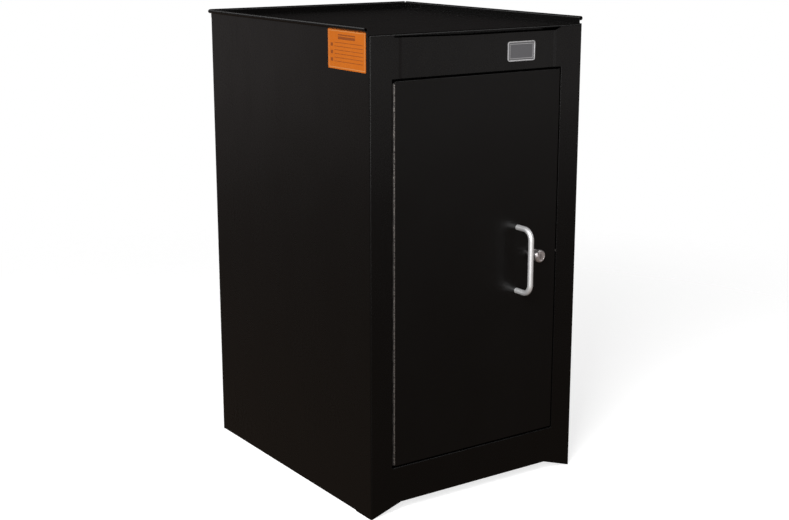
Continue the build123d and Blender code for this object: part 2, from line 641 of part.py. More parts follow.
def door_bumpers():
    """Two rubber dots on the door stops, as one group."""
    thick = STOP_Y - DOOR_REAR - BUMPER_GAP
    dots = []
    x = DOOR_RIGHT - BUMPER_INSET
    for low, high in ((OPEN_TOP - STOP_RISE, DOOR_TOP), (DOOR_BOTTOM, OPEN_BOTTOM + STOP_RISE)):
        z = (low + high) / 2
        dots.append(rod(BUMPER_RADIUS, (x, STOP_Y, z), (x, STOP_Y - thick, z)))
    return Compound(children=dots)


# ---- shelves ----
def slot_heights():
    """Middle heights of a standard's slots."""
    return [STANDARD_FOOT + (index + 0.5) * SLOT_PITCH for index in range(SLOT_COUNT)]


def shelf_standard(side, y):
    """Slotted upright channel on a side panel."""
    wall = side * (WIDTH / 2 - SHEET)
    face = side * STANDARD_FACE
    body = slab(*sorted([wall, face]), y - STANDARD_WIDTH / 2, y + STANDARD_WIDTH / 2,
                STANDARD_FOOT, STANDARD_TOP)
    inside = STANDARD_WIDTH / 2 - STANDARD_SHEET
    hollow = sorted([wall + side * CUT, face + side * STANDARD_SHEET])
    body -= slab(*hollow, y - inside, y + inside, STANDARD_FOOT - CUT, STANDARD_TOP + CUT)
    through = sorted([face - side * CUT, face + side * CUT / 2])
    across_slot = (y - SLOT_WIDTH / 2, y + SLOT_WIDTH / 2)
    slots = [slab(*through, *across_slot, z - SLOT_HEIGHT / 2, z + SLOT_HEIGHT / 2) for z in slot_heights()]
    return body - slots


def shelf_level(slot):
    """Height of the ledge of a clip that hangs in this slot."""
    return slot_heights()[slot] + SLOT_HEIGHT / 2


def shelf_slots():
    """Slots that carry the two shelves: about a third and two thirds of the way up."""
    return round(SLOT_COUNT * LOWER_SHELF_SHARE), round(SLOT_COUNT * UPPER_SHELF_SHARE)


def shelf_clips():
    """Eight steel clips hooked into the standards, as one group."""
    clips = []
    for slot in shelf_slots():
        top = shelf_level(slot)
        middle = slot_heights()[slot]
        for side in (-1, 1):
            face = side * STANDARD_FACE
            leg = sorted([face, face - side * CLIP_SHEET])
            ledge = sorted([face, face - side * CLIP_LEDGE])
            hook = sorted([face, face + side * (STANDARD_SHEET + CLIP_SHEET)])
            for y in STANDARD_YS:
                sides = (y - CLIP_WIDTH / 2, y + CLIP_WIDTH / 2)
                clip = slab(*leg, *sides, top - CLIP_LEG, top)
                clip += slab(*ledge, *sides, top - CLIP_SHEET, top)
                narrow = SLOT_WIDTH / 2 - CLIP_PLAY
                hook_z = (middle - SLOT_HEIGHT / 2, middle + SLOT_HEIGHT / 4)
                clip += slab(*hook, y - narrow, y + narrow, *hook_z)
                clips.append(clip)
    return Compound(children=clips)


def shelf(slot):
    """Shelf pan: edges folded down, and hemmed in where it rests on the clips."""
    x = STANDARD_FACE - SHELF_PLAY - CLIP_SHEET
    y0, y1 = FRONT + SHELF_FRONT, REAR_FACE - SHELF_REAR
    z0 = shelf_level(slot)
    z1 = z0 + SHELF_FLANGE
    t = SHELF_SHEET
    pan = slab(-x, x, y0, y1, z0, z1)
    pan = fillet(pan.faces().sort_by(Axis.Z)[-1].edges() + pan.edges().filter_by(Axis.Z), t)
    pan -= slab(-x + t, x - t, y0 + t, y1 - t, z0 + t, z1 - t)
    return pan - slab(-x + SHELF_HEM, x - SHELF_HEM, y0 + t, y1 - t, z0 - CUT, z1 - t)


# ---- plates ----
def name_badge():
    """Plain nameplate on the header, with a raised rim."""
    width, height, thick = BADGE
    seat = FRONT + RECESS
    centre = Pos(RIGHT - BADGE_FROM_RIGHT, HEIGHT - BADGE_BELOW_TOP)
    plate = back(centre * RectangleRounded(width, height, BADGE_CORNER), seat - thick, seat)
    rim = thick
    field = centre * RectangleRounded(width - 2 * rim, height - 2 * rim, BADGE_CORNER - rim / 2)
    return plate - back(field, seat - thick - CUT, seat - thick / 2)


def side_label():
    """Plain sticker high on the left side."""
    length, height, thick = LABEL
    middle = (FRONT + LABEL_FROM_FRONT + length / 2, HEIGHT + LABEL_ABOVE_TOP - height / 2)
    section = Pos(*middle) * RectangleRounded(length, height, LABEL_CORNER)
    return across(section, LEFT - thick, LEFT)


def parts():
    """Every node of the safe, by name."""
    lower, upper = shelf_slots()
    made = {
        "left_side_panel": side_panel(-1),
        "right_side_panel": side_panel(1),
        "back_panel": back_panel(),
        "top_pan": top_pan(),
        "header_panel": header_panel(),
        "header_channel": header_channel(),
        "bottom_rail": bottom_rail(),
        "bottom_pan": bottom_pan(),
        "base_frame": base_frame(),
        "back_rivets": back_rivets(),
        "hinge_frame_leaf": hinge_leaf(-1, HINGE_PIN_RADIUS),
        "hinge_pin": hinge_pin(),
        "strike_plate": strike_plate(),
        "door_bumpers": door_bumpers(),
        "lower_shelf": shelf(lower),
        "upper_shelf": shelf(upper),
        "shelf_clips": shelf_clips(),
        "name_badge": name_badge(),
        "side_label": side_label(),
        "hinge_door_leaf": hinge_leaf(1, HINGE_PIN_RADIUS + HINGE_FIT),
        "door_skin": door_skin(),
        "door_stiffener": door_stiffener(),
        "lock_backing_plate": lock_backing_plate(),
        "pull_handle": pull_handle(),
        "handle_screws": handle_screws(),
        "lock_housing": lock_housing(),
        "lock_spur_washer": lock_spur_washer(),
        "lock_nut": lock_nut(),
        "lock_plug": lock_plug(),
        "lock_cam": lock_cam(),
        "cam_screw": cam_screw(),
    }
    for side, hand in ((-1, "left"), (1, "right")):
        for y, place in zip(STANDARD_YS, ("front", "rear")):
            made[f"shelf_standard_{place}_{hand}"] = shelf_standard(side, y)
    return made


os.makedirs("parts", exist_ok=True)
for name, shape in parts().items():
    export_step(shape, f"parts/{name}.step")
    print(name, "solids", len(shape.solids()), "volume", round(shape.volume))
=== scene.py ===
# %% [markdown]
# # A sheet-steel gun safe
# The safe is a floor-standing locker: folded black steel, one inset door on a full-height
# hinge, a bright wire pull and a cam lock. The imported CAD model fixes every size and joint.
# This notebook loads it as a frame, gives each part its finish, and grows the small pieces
# that repeat, so every cell below starts from a box or a joint of that frame.

# %% The frame
import json
import math
import bpy
import bmesh
from mathutils import Matrix, Vector


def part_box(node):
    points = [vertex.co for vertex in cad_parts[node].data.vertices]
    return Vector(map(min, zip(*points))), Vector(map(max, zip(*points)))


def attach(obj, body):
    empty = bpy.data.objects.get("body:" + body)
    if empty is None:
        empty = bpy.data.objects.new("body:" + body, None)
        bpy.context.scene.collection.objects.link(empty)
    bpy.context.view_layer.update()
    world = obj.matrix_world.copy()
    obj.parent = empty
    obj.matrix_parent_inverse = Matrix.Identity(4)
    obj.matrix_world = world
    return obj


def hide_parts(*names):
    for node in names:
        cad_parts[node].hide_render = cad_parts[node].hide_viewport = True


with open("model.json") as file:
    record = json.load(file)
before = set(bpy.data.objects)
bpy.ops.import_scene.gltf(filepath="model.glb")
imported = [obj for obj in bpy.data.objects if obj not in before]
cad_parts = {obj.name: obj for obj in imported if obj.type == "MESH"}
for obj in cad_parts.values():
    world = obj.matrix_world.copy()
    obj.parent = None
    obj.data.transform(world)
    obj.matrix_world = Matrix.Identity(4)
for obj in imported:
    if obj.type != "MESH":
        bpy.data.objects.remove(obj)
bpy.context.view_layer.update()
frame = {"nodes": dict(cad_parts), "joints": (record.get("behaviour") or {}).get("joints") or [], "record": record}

CAD_NODES = frame["nodes"]
JOINTS = {joint["name"]: joint for joint in frame["joints"]}
MM = 0.001
print("nodes:", len(CAD_NODES), "joints:", sorted(JOINTS))

# %% [markdown]
# ## A way to write node trees
# Node trees are easier to read as arithmetic. `Wire` holds one socket and overloads the
# operators, so `1 - mask * 0.5` adds the Math nodes it needs. `Tree.node` makes any other
# node: its settings are set first, because a node's sockets can depend on them, and then its
# sockets take plain values or wires. The same two classes serve shader and geometry trees.

# %% Wires and trees
class Wire:
    """One output socket that Python's operators work on."""

    def __init__(self, tree, socket):
        self.tree, self.socket = tree, socket

    def math(self, operation, first, second):
        sockets = {0: first, 1: second}
        return self.tree.node("ShaderNodeMath", {"operation": operation}, sockets)["Value"]

    def __add__(self, other):
        return self.math("ADD", self, other)

    def __sub__(self, other):
        return self.math("SUBTRACT", self, other)

    def __rsub__(self, other):
        return self.math("SUBTRACT", other, self)

    def __mul__(self, other):
        return self.math("MULTIPLY", self, other)

    def __truediv__(self, other):
        return self.math("DIVIDE", self, other)

    def over(self, limit):
        return self.math("GREATER_THAN", self, limit)

    def abs(self):
        return self.math("ABSOLUTE", self, 0.0)

    def fraction(self):
        return self.math("FRACT", self, 0.0)

    def least(self, other):
        return self.math("MINIMUM", self, other)

    __radd__, __rmul__ = __add__, __mul__


class Tree:
    """A node tree, with one method that makes any node."""

    def __init__(self, tree):
        self.tree = tree

    def node(self, kind, settings=None, sockets=None):
        made = self.tree.nodes.new(kind)
        for name, value in (settings or {}).items():
            if name == "stops":
                set_stops(made.color_ramp, value)
            else:
                setattr(made, name, value)
        for key, value in (sockets or {}).items():
            if isinstance(value, Wire):
                self.tree.links.new(value.socket, made.inputs[key])
            else:
                made.inputs[key].default_value = value
        return {
            socket.name: Wire(self, socket) for socket in reversed(made.outputs) if socket.enabled}


def set_stops(ramp, stops):
    """Gives a colour ramp its stops: (place, grey) pairs."""
    while len(ramp.elements) < len(stops):
        ramp.elements.new(1.0)
    for element, (place, grey) in zip(ramp.elements, stops):
        element.position = place
        element.color = (grey, grey, grey, 1.0)


print("node helpers ready")

# %% [markdown]
# ## Small tools for patterns
# Patterns read Object coordinates in metres, because each piece keeps its place in its mesh.
# A noise's scale is then simply one over the size of its blotches.

# %% Pattern helpers
def new_finish(name):
    """A new material, the helper that adds nodes to its tree, and its Object coordinates."""
    material = bpy.data.materials.new(name)
    material.use_nodes = True
    material.node_tree.nodes.clear()
    tree = Tree(material.node_tree)
    place = tree.node("ShaderNodeTexCoord")["Object"]
    return material, tree, place


def noise(tree, place, size, detail=3.0, roughness=0.5):
    """Noise whose blotches are about this many metres across, from 0 to 1."""
    return tree.node("ShaderNodeTexNoise", {}, {
        "Vector": place, "Scale": 1 / size, "Detail": detail, "Roughness": roughness})["Fac"]


def stretched(tree, place, scale):
    """Coordinates stretched by a factor on each axis."""
    return tree.node("ShaderNodeMapping", {}, {"Vector": place, "Scale": scale})["Vector"]


def ramp(tree, value, *stops):
    return tree.node("ShaderNodeValToRGB", {"stops": stops}, {"Fac": value})["Color"]


def mixed(tree, amount, first, second):
    """Colour between two colours."""
    sockets = {0: amount, 6: first, 7: second}
    return tree.node("ShaderNodeMix", {"data_type": "RGBA"}, sockets)["Result"]


def bumps(tree, height, depth, under=None):
    """Bump whose relief is this many metres deep, on top of another bump if one is given."""
    sockets = {"Height": height, "Distance": depth, "Strength": 1.0}
    if under is not None:
        sockets["Normal"] = under
    return tree.node("ShaderNodeBump", {}, sockets)["Normal"]


def close_finish(material, tree, sockets):
    """Ends a tree in one Principled surface."""
    surface = tree.node("ShaderNodeBsdfPrincipled", {}, sockets)["BSDF"]
    tree.node("ShaderNodeOutputMaterial", {}, {"Surface": surface})
    return material


def colour(red, green, blue):
    return (red, green, blue, 1.0)


print("pattern helpers ready")

# %% [markdown]
# ## Powder coat
# The body is powder coated: plastic dust baked on the steel. Up close it has orange peel, a
# shallow dimpling about two millimetres across. Over a hand's width the sheet itself is never
# quite flat, and long soft swells bend its reflections. Two bumps do this, one on the other.
# The gloss drifts a little too, where hands and cloths have been. Body, door and shelves share
# one recipe. The body is the glossiest, the door a little softer, so the pull's reflection in
# it is blurred. The shelves are black like the body, but their tint is painted lighter, a duller
# grey: painted light that lets them show in the shade inside.

# %% Powder coat
def powder_coat(name, tint, gloss_low, gloss_high, peel, swell):
    """Black baked powder: tint, a range of roughness, and the depths of two bumps."""
    material, tree, place = new_finish(name)
    cloud_size, dimple_size, speck_size, wipe_size, swell_size = 0.09, 0.0022, 0.0008, 0.05, 0.16
    cloud = noise(tree, place, cloud_size, 4.0)
    fine = noise(tree, place, dimple_size, 2.0)
    speck = ramp(tree, noise(tree, place, speck_size, 1.0), (0.66, 0.0), (0.72, 1.0))
    warm = tuple(channel * 1.35 for channel in tint)
    base = mixed(tree, cloud, colour(*tint), colour(*warm))
    base = mixed(tree, speck * 0.35, base, colour(*(channel * 3.0 for channel in tint)))
    wiped = noise(tree, stretched(tree, place, (1.0, 1.0, 0.35)), wipe_size, 5.0, 0.6)
    rough = gloss_low + (gloss_high - gloss_low) * wiped + (fine - 0.5) * 0.06
    slow = bumps(tree, noise(tree, place, swell_size, 1.0), swell)
    relief = bumps(tree, fine, peel, slow)
    return close_finish(material, tree, {
        "Base Color": base, "Roughness": rough, "Normal": relief, "IOR": 1.5,
        "Specular IOR Level": 0.30})


# The shelf tint is painted light: the shelves are black like the body, and this lighter grey stands in for light
# in the shade inside the cabinet.
BLACK, SHELF_BLACK_PAINTED_LIGHTER = (0.0016, 0.0014, 0.0013), (0.0150, 0.0142, 0.0136)
BODY_PAINT = powder_coat("body_powder_coat", BLACK, 0.23, 0.31, peel=0.00003, swell=0.0012)
DOOR_PAINT = powder_coat("door_powder_coat", BLACK, 0.29, 0.37, peel=0.00004, swell=0.0012)
SHELF_PAINT = powder_coat("shelf_powder_coat_painted_lighter", SHELF_BLACK_PAINTED_LIGHTER, 0.42, 0.55, peel=0.00006, swell=0.0008)
print("powder coats:", BODY_PAINT.name, DOOR_PAINT.name, SHELF_PAINT.name)

# %% [markdown]
# ## Bare metals
# Three bare metals are used. Zinc plate on the hardware inside is bluish and cloudy, with
# fine drawing lines. The pull is satin silver: its grain runs along the wire, so it reads a
# coordinate stored on the wire. The lock is nickel chrome with faint scratches. Neither is a
# pure metal here: a small share of plain white keeps them pale where the room is dark.

# %% Bare metals
def zinc_plate():
    material, tree, place = new_finish("bright_zinc")
    spangle = tree.node("ShaderNodeTexVoronoi", {"feature": "SMOOTH_F1"}, {
        "Vector": place, "Scale": 1 / 0.004})["Distance"]
    cloud = noise(tree, place, 0.02, 4.0)
    base = mixed(tree, cloud, colour(0.50, 0.51, 0.53), colour(0.66, 0.66, 0.64))
    drawn = noise(tree, stretched(tree, place, (1.0, 1.0, 0.05)), 0.0009, 2.0)
    relief = bumps(tree, drawn, 0.00001)
    return close_finish(material, tree, {
        "Base Color": base, "Metallic": 1.0, "Roughness": 0.26 + spangle * 0.12 + cloud * 0.08,
        "Normal": relief})


def satin_silver():
    """Satin plating with a grain along the wire, from the coordinate stored on it."""
    material, tree, place = new_finish("satin_silver")
    along = tree.node("ShaderNodeAttribute", {"attribute_name": "wire_place"})["Vector"]
    grain = noise(tree, stretched(tree, along, (0.04, 1.0, 1.0)), 0.012, 3.0, 0.6)
    touched = noise(tree, place, 0.03, 3.0)
    base = mixed(tree, grain, colour(0.90, 0.90, 0.91), colour(0.97, 0.97, 0.97))
    return close_finish(material, tree, {
        "Base Color": base, "Metallic": 0.75, "Roughness": 0.42 + grain * 0.10 + touched * 0.08,
        "Normal": bumps(tree, grain, 0.00002)})


def nickel_chrome():
    material, tree, place = new_finish("nickel_chrome")
    scratch = noise(tree, stretched(tree, place, (1.0, 1.0, 0.08)), 0.0007, 2.0)
    smear = noise(tree, place, 0.01, 3.0)
    base = mixed(tree, smear, colour(0.84, 0.79, 0.80), colour(0.93, 0.90, 0.90))
    return close_finish(material, tree, {
        "Base Color": base, "Metallic": 0.92, "Roughness": 0.20 + smear * 0.14 + scratch * 0.06,
        "Normal": bumps(tree, scratch, 0.000006)})


ZINC, SILVER, CHROME = zinc_plate(), satin_silver(), nickel_chrome()
print("metals:", ZINC.name, SILVER.name, CHROME.name)

# %% [markdown]
# ## The hinge's worn paint
# A hinge is painted with the body, then rubs: the paint thins on the proudest line of its
# knuckles, where it turns against its neighbours. The wear follows the height of the surface
# in front of the frame, broken up by noise, and the steel under it is duller than zinc.

# %% Worn paint
def worn_paint(front_edge):
    material, tree, place = new_finish("hinge_worn_paint")
    depth = tree.node("ShaderNodeSeparateXYZ", {}, {0: place})["Y"]
    scuff = noise(tree, place, 0.003, 4.0, 0.65)
    rub_depth = 0.004
    proud = (front_edge - depth) / rub_depth
    worn = ramp(tree, proud + scuff * 0.9, (0.92, 0.0), (1.10, 1.0))
    base = mixed(tree, worn, colour(0.013, 0.011, 0.010), colour(0.33, 0.31, 0.29))
    return close_finish(material, tree, {
        "Base Color": base, "Metallic": worn * 0.9, "Roughness": 0.42 - worn * 0.12,
        "Normal": bumps(tree, scuff, 0.00005)})


HINGE_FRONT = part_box("hinge_frame_leaf")[0].y
WEAR_START = HINGE_FRONT + 0.0022
HINGE_PAINT = worn_paint(WEAR_START)
print("hinge paint wears in front of y =", round(WEAR_START, 4))

# %% [markdown]
# ## Rubber, sticker and nameplate
# The sticker is orange vinyl with a pale border, a heading bar, square marks and ruled lines.
# The nameplate is plain pressed metal with a bright rim. Neither says anything. A picture could
# be laid on each, but masks worked out from the node's own box stay sharp and centred on it.

# %% Sticker, nameplate and rubber
def rubber():
    material, tree, place = new_finish("black_rubber")
    grain = noise(tree, place, 0.0006, 2.0)
    base = mixed(tree, grain, colour(0.02, 0.02, 0.02), colour(0.035, 0.034, 0.033))
    return close_finish(material, tree, {
        "Base Color": base, "Roughness": 0.75 + grain * 0.15,
        "Normal": bumps(tree, grain, 0.00004)})


def sticker(node):
    """Orange vinyl with a pale border, a blank heading bar, square marks and ruled lines."""
    low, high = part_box(node)
    material, tree, place = new_finish("orange_sticker")
    parts = tree.node("ShaderNodeSeparateXYZ", {}, {0: place})
    half_y, half_z = (high.y - low.y) / 2, (high.z - low.z) / 2
    off_y = (parts["Y"] - (low.y + half_y)).abs()
    off_z = (parts["Z"] - (low.z + half_z)).abs()
    edge = (half_y - off_y).least(half_z - off_z)
    border_out, border_in, margin, heading_height = 0.0022, 0.0034, 0.0080, 0.017
    border = edge.over(border_out) * (1 - edge.over(border_in))
    inside = edge.over(margin)
    heading = (parts["Z"] - (high.z - heading_height)).over(0.0)
    rule_gap, rules_start, marks_start, marks_end = 0.0062, 0.020, 0.0085, 0.0155
    phase = ((parts["Z"] - low.z) / rule_gap).fraction()
    mark_phase = ((parts["Z"] - low.z) / (2 * rule_gap)).fraction()
    rules = (1 - phase.over(0.16)) * inside * (1 - heading)
    rules = rules * (high.y - rules_start - parts["Y"]).over(0.0)
    bar = heading * inside * (half_y * 0.45 - off_y).over(0.0) * (1 - phase.over(0.75))
    marks = (1 - mark_phase.over(0.45)) * inside * (1 - heading)
    marks = marks * (high.y - marks_start - parts["Y"]).over(0.0)
    marks = marks * (parts["Y"] - (high.y - marks_end)).over(0.0)
    fade = noise(tree, place, 0.02, 4.0)
    ground = mixed(tree, fade, colour(0.54, 0.125, 0.004), colour(0.60, 0.150, 0.006))
    ground = mixed(tree, rules * 0.8, ground, colour(0.20, 0.045, 0.008))
    ground = mixed(tree, (bar + marks) * 0.8, ground, colour(0.20, 0.045, 0.008))
    ground = mixed(tree, border * 0.6, ground, colour(0.66, 0.34, 0.13))
    vinyl = noise(tree, place, 0.0015, 2.0)
    return close_finish(material, tree, {
        "Base Color": ground, "Roughness": 0.38 + fade * 0.12,
        "Normal": bumps(tree, vinyl, 0.00002)})


def nameplate(node):
    """Satin plate with a brushed field, a thin bright band in it and a brighter rim."""
    low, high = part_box(node)
    material, tree, place = new_finish("plain_nameplate")
    parts = tree.node("ShaderNodeSeparateXYZ", {}, {0: place})
    half_x, half_z = (high.x - low.x) / 2, (high.z - low.z) / 2
    off_x = (parts["X"] - (low.x + half_x)).abs()
    off_z = (parts["Z"] - (low.z + half_z)).abs()
    edge = (half_x - off_x).least(half_z - off_z)
    rim, band_out, band_in = 0.0019, 0.0042, 0.0050
    field = edge.over(rim)
    band = edge.over(band_out) * (1 - edge.over(band_in))
    brushed = noise(tree, stretched(tree, place, (0.04, 1.0, 1.0)), 0.0007, 2.0)
    base = mixed(tree, field, colour(0.66, 0.66, 0.67), colour(0.17, 0.17, 0.18))
    base = mixed(tree, band, base, colour(0.58, 0.58, 0.59))
    return close_finish(material, tree, {
        "Base Color": base, "Metallic": 0.45, "Roughness": 0.34 + brushed * 0.15,
        "Normal": bumps(tree, brushed, 0.00002)})


RUBBER, STICKER, PLATE = rubber(), sticker("side_label"), nameplate("name_badge")
print("trim:", RUBBER.name, STICKER.name, PLATE.name)

# %% [markdown]
# ## Finishing the CAD parts
# A CAD part whose shape is right keeps its mesh and only changes finish. The record already
# says which slot each part belongs to, so one table from slot to finish paints them all.

# %% Paint the frame
FINISHES = {
    "body_paint": BODY_PAINT, "door_paint": DOOR_PAINT, "shelf_paint": SHELF_PAINT,
    "rivet_paint": BODY_PAINT, "hinge_paint": HINGE_PAINT, "zinc_plate": ZINC,
    "satin_pull": SILVER, "lock_chrome": CHROME, "rubber": RUBBER, "badge_metal": PLATE,
    "orange_label": STICKER}
SLOTS = {row["node"]: row["material_slot"] for row in frame["record"]["subparts"]}
for name, cad_part in CAD_NODES.items():
    cad_part.data.materials.clear()
    cad_part.data.materials.append(FINISHES[SLOTS[name]])
print("painted", len(CAD_NODES), "CAD parts")

# %% [markdown]
# ## Tools that make pieces
# `new_piece` wraps a mesh, says which body carries it and which CAD nodes it stands for.
# `turned` makes a round shape from a profile, as a lathe does. `grown`
# runs a geometry tree once and keeps the plain mesh.

# %% Making pieces
def new_piece(name, mesh, body, replaced=()):
    piece = bpy.data.objects.new(name, mesh)
    bpy.context.scene.collection.objects.link(piece)
    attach(piece, body)
    if replaced:
        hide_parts(*replaced)
    return piece


def turned(name, profile, around, segments=24):
    """Mesh turned from (radius, height) points. Heights run along `around`, a unit vector."""
    turn = Vector((0, 0, 1)).rotation_difference(Vector(around)).to_matrix().to_4x4()
    shape = bmesh.new()
    rings = []
    for radius, height in profile:
        if radius == 0:
            rings.append([shape.verts.new((0, 0, height))])
            continue
        angles = [math.tau * step / segments for step in range(segments)]
        rings.append([
            shape.verts.new((radius * math.cos(a), radius * math.sin(a), height)) for a in angles])
    for lower, upper in zip(rings, rings[1:]):
        for step in range(segments):
            after = (step + 1) % segments
            corners = [lower[step % len(lower)], lower[after % len(lower)],
                       upper[after % len(upper)], upper[step % len(upper)]]
            unique = list(dict.fromkeys(corners))
            if len(unique) > 2:
                shape.faces.new(unique)
    touching = 0.001 * MM
    bmesh.ops.remove_doubles(shape, verts=shape.verts, dist=touching)
    bmesh.ops.recalc_face_normals(shape, faces=shape.faces)
    shape.transform(turn)
    mesh = bpy.data.meshes.new(name)
    shape.to_mesh(mesh)
    shape.free()
    return mesh


def grown(name, tree, values, start_mesh=None):
    """Runs a geometry tree with these inputs, and returns its result as a plain mesh."""
    seed = bpy.data.objects.new(name + "_seed", start_mesh or bpy.data.meshes.new(name))
    bpy.context.scene.collection.objects.link(seed)
    maker = seed.modifiers.new("maker", "NODES")
    maker.node_group = tree
    for item in tree.interface.items_tree:
        if item.name in values:
            maker[item.identifier] = values[item.name]
    graph = bpy.context.evaluated_depsgraph_get()
    mesh = bpy.data.meshes.new_from_object(seed.evaluated_get(graph), depsgraph=graph)
    bpy.data.objects.remove(seed)
    mesh.name = name
    return mesh


def geometry_tree(name, inputs):
    """A geometry tree with named inputs. Returns the tree, its helper and its input wires."""
    group = bpy.data.node_groups.new(name, "GeometryNodeTree")
    group.interface.new_socket("Geometry", in_out="INPUT", socket_type="NodeSocketGeometry")
    for label, kind in inputs.items():
        group.interface.new_socket(label, in_out="INPUT", socket_type="NodeSocket" + kind)
    group.interface.new_socket("Geometry", in_out="OUTPUT", socket_type="NodeSocketGeometry")
    tree = Tree(group)
    return group, tree, tree.node("NodeGroupInput")


def close_geometry(tree, geometry, finish):
    """Ends a geometry tree: its copies made real, all in one finish."""
    real = tree.node("GeometryNodeRealizeInstances", {}, {"Geometry": geometry})["Geometry"]
    painted = tree.node("GeometryNodeSetMaterial", {}, {
        "Geometry": real, "Material": finish})["Geometry"]
    tree.node("NodeGroupOutput", {}, {0: painted})


print("piece tools ready")

# %% [markdown]
# ## A tree that sets out copies
# Knuckles, rivets, weld marks and bumpers all repeat at a fixed step. One geometry tree
# serves them: a line of points along one step, copied along a second step, with the shape
# standing on every point.

# %% Rows of copies
def rows_tree():
    group, tree, given = geometry_tree("rows_of_copies", {
        "Shape": "Object", "Start": "Vector", "Count": "Int", "Step": "Vector",
        "Rows": "Int", "Row Step": "Vector", "Finish": "Material"})
    line = tree.node("GeometryNodeMeshLine", {}, {
        "Count": given["Count"], "Offset": given["Step"]})["Mesh"]
    heads = tree.node("GeometryNodeMeshLine", {}, {
        "Count": given["Rows"], "Start Location": given["Start"],
        "Offset": given["Row Step"]})["Mesh"]
    grid = tree.node("GeometryNodeInstanceOnPoints", {}, {
        "Points": heads, "Instance": line})["Instances"]
    points = tree.node("GeometryNodeRealizeInstances", {}, {"Geometry": grid})["Geometry"]
    shape = tree.node("GeometryNodeObjectInfo", {"transform_space": "ORIGINAL"}, {
        "Object": given["Shape"]})["Geometry"]
    copies = tree.node("GeometryNodeInstanceOnPoints", {}, {"Points": points, "Instance": shape})
    close_geometry(tree, copies["Instances"], given["Finish"])
    return group


ROWS = rows_tree()


def row_mesh(name, shape_mesh, finish, start, count, step, rows=1, row_step=(0, 0, 0)):
    """Plain mesh of copies of a shape, set out by the rows tree."""
    shape = bpy.data.objects.new(name + "_shape", shape_mesh)
    bpy.context.scene.collection.objects.link(shape)
    mesh = grown(name, ROWS, {
        "Shape": shape, "Start": start, "Count": count, "Step": step, "Rows": rows,
        "Row Step": row_step, "Finish": finish})
    bpy.data.objects.remove(shape)
    smooth_by_angle(mesh)
    return mesh


def smooth_by_angle(mesh, degrees=35):
    mesh.shade_smooth()
    mesh.set_sharp_from_angle(angle=math.radians(degrees))


print("rows tree has", len(ROWS.nodes), "nodes")

# %% [markdown]
# ## The continuous hinge
# The hinge is rolled from two strips, so its knuckles alternate between frame and door. Each
# knuckle is a short tube with eased ends. The rows tree places every second one for the frame
# and the others for the door, and each set rides on its own body with its strip.

# %% Hinge knuckles and leaves
def box_mesh(name, low, high, ease=0.0):
    """Mesh of a block with eased edges."""
    shape = bmesh.new()
    bmesh.ops.create_cube(shape, size=1.0)
    size, middle = Vector(high) - Vector(low), (Vector(high) + Vector(low)) / 2
    shape.transform(Matrix.Translation(middle) @ Matrix.Diagonal(size.to_4d()))
    if ease:
        bmesh.ops.bevel(
            shape, geom=shape.edges, offset=ease, segments=2, profile=0.5, affect="EDGES")
    mesh = bpy.data.meshes.new(name)
    shape.to_mesh(mesh)
    shape.free()
    return mesh


def joined(name, meshes, finish):
    """One mesh from several, in one finish."""
    shape = bmesh.new()
    for mesh in meshes:
        shape.from_mesh(mesh)
    whole = bpy.data.meshes.new(name)
    shape.to_mesh(whole)
    shape.free()
    whole.materials.append(finish)
    for face in whole.polygons:
        face.material_index = 0
    smooth_by_angle(whole)
    return whole


HINGE_AXIS = Vector(JOINTS["door_swing"]["pos_m"])
HINGE_LOW, HINGE_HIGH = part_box("hinge_frame_leaf")
KNUCKLE_PITCH = 19.05 * MM
KNUCKLE_COUNT = round((HINGE_HIGH.z - HINGE_LOW.z) / KNUCKLE_PITCH)
KNUCKLE_RADIUS = HINGE_AXIS.y - HINGE_LOW.y


def knuckle_mesh():
    """Tube with eased outer ends and a small bore for the pin."""
    gap, ease, bore = 0.3 * MM, 0.35 * MM, 1.2 * MM
    low, high, radius = gap / 2, KNUCKLE_PITCH - gap / 2, KNUCKLE_RADIUS
    return turned("knuckle", [
        (bore, low), (radius - ease, low), (radius, low + ease), (radius, high - ease),
        (radius - ease, high), (bore, high), (bore, low)], (0, 0, 1), 20)


def hinge_half(name, node, body, first, count):
    """The knuckles of one body, joined to the strip that they are rolled from."""
    low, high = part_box(node)
    on_left = abs(low.x - HINGE_AXIS.x) > abs(high.x - HINGE_AXIS.x)
    sheet, gap, inset, ease = 1.0 * MM, 0.3 * MM, 0.15 * MM, 0.15 * MM
    strip_x = (low.x, low.x + sheet) if on_left else (high.x - sheet, high.x)
    strip_front = HINGE_AXIS.y + KNUCKLE_RADIUS + gap
    start = Vector((HINGE_AXIS.x, HINGE_AXIS.y, HINGE_LOW.z + first * KNUCKLE_PITCH))
    step = (0, 0, 2 * KNUCKLE_PITCH)
    knuckles = row_mesh(name + "_knuckles", knuckle_mesh(), HINGE_PAINT, start, count, step)
    tab = box_mesh("tab", (strip_x[0] - HINGE_AXIS.x, 0, inset),
                   (strip_x[1] - HINGE_AXIS.x, strip_front - HINGE_AXIS.y, KNUCKLE_PITCH - inset))
    tabs = row_mesh(name + "_tabs", tab, HINGE_PAINT, start, count, step)
    strip = box_mesh("strip", (strip_x[0], strip_front, low.z), (strip_x[1], high.y, high.z), ease)
    mesh = joined(name, [knuckles, tabs, strip], HINGE_PAINT)
    return new_piece(name, mesh, body, [node])


FRAME_HINGE = hinge_half("frame_hinge", "hinge_frame_leaf", "cabinet", 0, (KNUCKLE_COUNT + 1) // 2)
hinge_half("door_hinge", "hinge_door_leaf", "door", 1, KNUCKLE_COUNT // 2)
print("knuckles:", KNUCKLE_COUNT, "faces:", len(FRAME_HINGE.data.polygons))

# %% [markdown]
# ## Rivets, weld marks and bumpers
# The back is riveted, and the door's stiffener is spot welded along its two feet. A spot weld
# leaves a shallow ring where the electrode pressed. The door shuts on two rubber dots, moulded
# as domes. All of them are rows of one turned shape.

